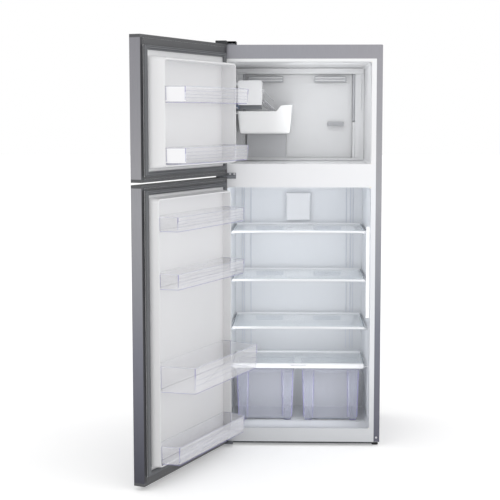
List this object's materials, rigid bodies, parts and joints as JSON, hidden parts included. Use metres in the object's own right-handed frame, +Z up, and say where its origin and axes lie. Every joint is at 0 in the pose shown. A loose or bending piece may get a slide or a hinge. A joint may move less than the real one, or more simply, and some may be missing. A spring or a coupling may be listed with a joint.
{
  "type": "top freezer refrigerator",
  "caption": "Upright refrigerator with a freezer above the fridge, doors open, with glass shelves, clear drawers, door bins and an ice maker.",
  "frame": {"origin": "on the floor, under the centre of the closed cabinet's 700 by 600 mm footprint", "axes": "+Z up, the open front faces -Y, +X is to the right of a person who faces the front"},
  "size_m": [0.9721, 1.2805, 1.725],
  "materials": {
    "silver_steel": "satin",
    "galvanised_steel": "matte",
    "foam": "matte",
    "white_liner": "satin",
    "white_plastic": "satin",
    "hinge_steel": "satin",
    "dark_plastic": "matte",
    "zinc": "satin",
    "aluminium": "satin",
    "heater_metal": "satin",
    "light_cover": "gloss",
    "fan_plastic": "matte",
    "arm_wire": "polished",
    "compressor_black": "satin",
    "rubber": "matte",
    "drip_plastic": "satin",
    "copper": "satin",
    "shelf_trim": "satin",
    "shelf_glass": "gloss",
    "clear_plastic": "gloss",
    "door_skin": "satin",
    "door_foam": "matte",
    "door_liner": "satin",
    "gasket": "matte",
    "door_caps": "satin",
    "foot_plastic": "matte"
  },
  "bodies": {
    "cabinet": {"back_panel": "galvanised_steel", "base_plate": "galvanised_steel", "bottom_hinge": "hinge_steel", "cabinet_foam": "foam", "cabinet_wrapper": "silver_steel", "compressor": "compressor_black", "compressor_grommets": "rubber", "condenser_coil": "compressor_black", "cord_gland": "dark_plastic", "crisper_cover_frame": "shelf_trim", "crisper_cover_glass": "shelf_glass", "defrost_heater": "heater_metal", "drip_tray": "drip_plastic", "duct_cover": "white_plastic", "evaporator_coil": "aluminium", "fan_motor": "zinc", "freezer_liner": "white_liner", "freezer_rear_panel": "white_plastic", "fridge_liner": "white_liner", "hinge_screws": "zinc", "ice_maker_housing": "white_plastic", "ice_maker_tray": "dark_plastic", "led_strip": "light_cover", "middle_hinge": "hinge_steel", "mullion_cover": "white_plastic", "refrigerant_tubes": "copper", "relay_box": "dark_plastic", "top_hinge_bracket": "hinge_steel", "top_hinge_cover": "dark_plastic"},
    "freezer_door": {"freezer_door_skin": "door_skin", "freezer_door_foam": "door_foam", "freezer_door_liner": "door_liner", "freezer_door_gasket": "gasket", "freezer_door_caps": "door_caps"},
    "fridge_door": {"fridge_door_skin": "door_skin", "fridge_door_foam": "door_foam", "fridge_door_liner": "door_liner", "fridge_door_gasket": "gasket", "fridge_door_caps": "door_caps"},
    "evaporator_fan": {"evaporator_fan": "fan_plastic"},
    "ice_maker_arm": {"ice_maker_arm": "arm_wire"},
    "ice_bin": {"ice_bin": "white_plastic"},
    "crisper_left": {"crisper_left": "clear_plastic"},
    "crisper_right": {"crisper_right": "clear_plastic"},
    "front_foot_left": {"front_foot_left": "foot_plastic"},
    "front_foot_right": {"front_foot_right": "foot_plastic"},
    "rear_roller_left": {"rear_roller_left": "foot_plastic"},
    "rear_roller_right": {"rear_roller_right": "foot_plastic"},
    "shelf_1": {"shelf_1_trim": "shelf_trim", "shelf_1_glass": "shelf_glass"},
    "shelf_2": {"shelf_2_trim": "shelf_trim", "shelf_2_glass": "shelf_glass"},
    "shelf_3": {"shelf_3_trim": "shelf_trim", "shelf_3_glass": "shelf_glass"},
    "freezer_bin_upper": {"freezer_bin_upper": "clear_plastic"},
    "freezer_bin_lower": {"freezer_bin_lower": "clear_plastic"},
    "fridge_bin_1": {"fridge_bin_1": "clear_plastic"},
    "fridge_bin_2": {"fridge_bin_2": "clear_plastic"},
    "fridge_bin_3": {"fridge_bin_3": "clear_plastic"},
    "fridge_bin_4": {"fridge_bin_4": "clear_plastic"}
  },
  "joints": [
    {"name": "freezer_door_hinge", "type": "hinge", "parent": "cabinet", "child": "freezer_door", "pos_m": [-0.33, -0.335, 1.44], "axis": [0, 0, -1], "range_deg": [-113.5, 20]},
    {"name": "fridge_door_hinge", "type": "hinge", "parent": "cabinet", "child": "fridge_door", "pos_m": [-0.33, -0.335, 0.59], "axis": [0, 0, -1], "range_deg": [-113.5, 20]},
    {"name": "freezer_bin_upper_lift", "type": "slide", "parent": "freezer_door", "child": "freezer_bin_upper", "axis": [0, 0, 1], "range_m": [0, 0.03]},
    {"name": "freezer_bin_lower_lift", "type": "slide", "parent": "freezer_door", "child": "freezer_bin_lower", "axis": [0, 0, 1], "range_m": [0, 0.03]},
    {"name": "fridge_bin_1_lift", "type": "slide", "parent": "fridge_door", "child": "fridge_bin_1", "axis": [0, 0, 1], "range_m": [0, 0.03]},
    {"name": "fridge_bin_2_lift", "type": "slide", "parent": "fridge_door", "child": "fridge_bin_2", "axis": [0, 0, 1], "range_m": [0, 0.03]},
    {"name": "fridge_bin_3_lift", "type": "slide", "parent": "fridge_door", "child": "fridge_bin_3", "axis": [0, 0, 1], "range_m": [0, 0.03]},
    {"name": "fridge_bin_4_lift", "type": "slide", "parent": "fridge_door", "child": "fridge_bin_4", "axis": [0, 0, 1], "range_m": [0, 0.03]},
    {"name": "shelf_1_slide", "type": "slide", "parent": "cabinet", "child": "shelf_1", "axis": [0, -1, 0], "range_m": [0, 0.15]},
    {"name": "shelf_2_slide", "type": "slide", "parent": "cabinet", "child": "shelf_2", "axis": [0, -1, 0], "range_m": [0, 0.15]},
    {"name": "shelf_3_slide", "type": "slide", "parent": "cabinet", "child": "shelf_3", "axis": [0, -1, 0], "range_m": [0, 0.15]},
    {"name": "crisper_left_slide", "type": "slide", "parent": "cabinet", "child": "crisper_left", "axis": [0, -1, 0], "range_m": [0, 0.2]},
    {"name": "crisper_right_slide", "type": "slide", "parent": "cabinet", "child": "crisper_right", "axis": [0, -1, 0], "range_m": [0, 0.2]},
    {"name": "ice_bin_slide", "type": "slide", "parent": "cabinet", "child": "ice_bin", "axis": [0, -1, 0], "range_m": [0, 0.2]},
    {"name": "ice_maker_arm_pivot", "type": "hinge", "parent": "cabinet", "child": "ice_maker_arm", "pos_m": [-0.155, -0.114, 1.524], "axis": [0, -1, 0], "range_deg": [0, 40]},
    {"name": "evaporator_fan_spin", "type": "hinge", "parent": "cabinet", "child": "evaporator_fan", "pos_m": [0, 0.152, 1.525], "axis": [0, 1, 0], "continuous": true},
    {"name": "rear_roller_left_roll", "type": "hinge", "parent": "cabinet", "child": "rear_roller_left", "pos_m": [-0.312, 0.27, 0.014], "axis": [1, 0, 0], "continuous": true},
    {"name": "rear_roller_right_roll", "type": "hinge", "parent": "cabinet", "child": "rear_roller_right", "pos_m": [0.312, 0.27, 0.014], "axis": [1, 0, 0], "continuous": true},
    {"name": "front_foot_left_turn", "type": "hinge", "parent": "cabinet", "child": "front_foot_left", "pos_m": [-0.308, -0.27, 0], "axis": [0, 0, 1], "continuous": true},
    {"name": "front_foot_right_turn", "type": "hinge", "parent": "cabinet", "child": "front_foot_right", "pos_m": [0.332, -0.27, 0], "axis": [0, 0, 1], "continuous": true}
  ]
}
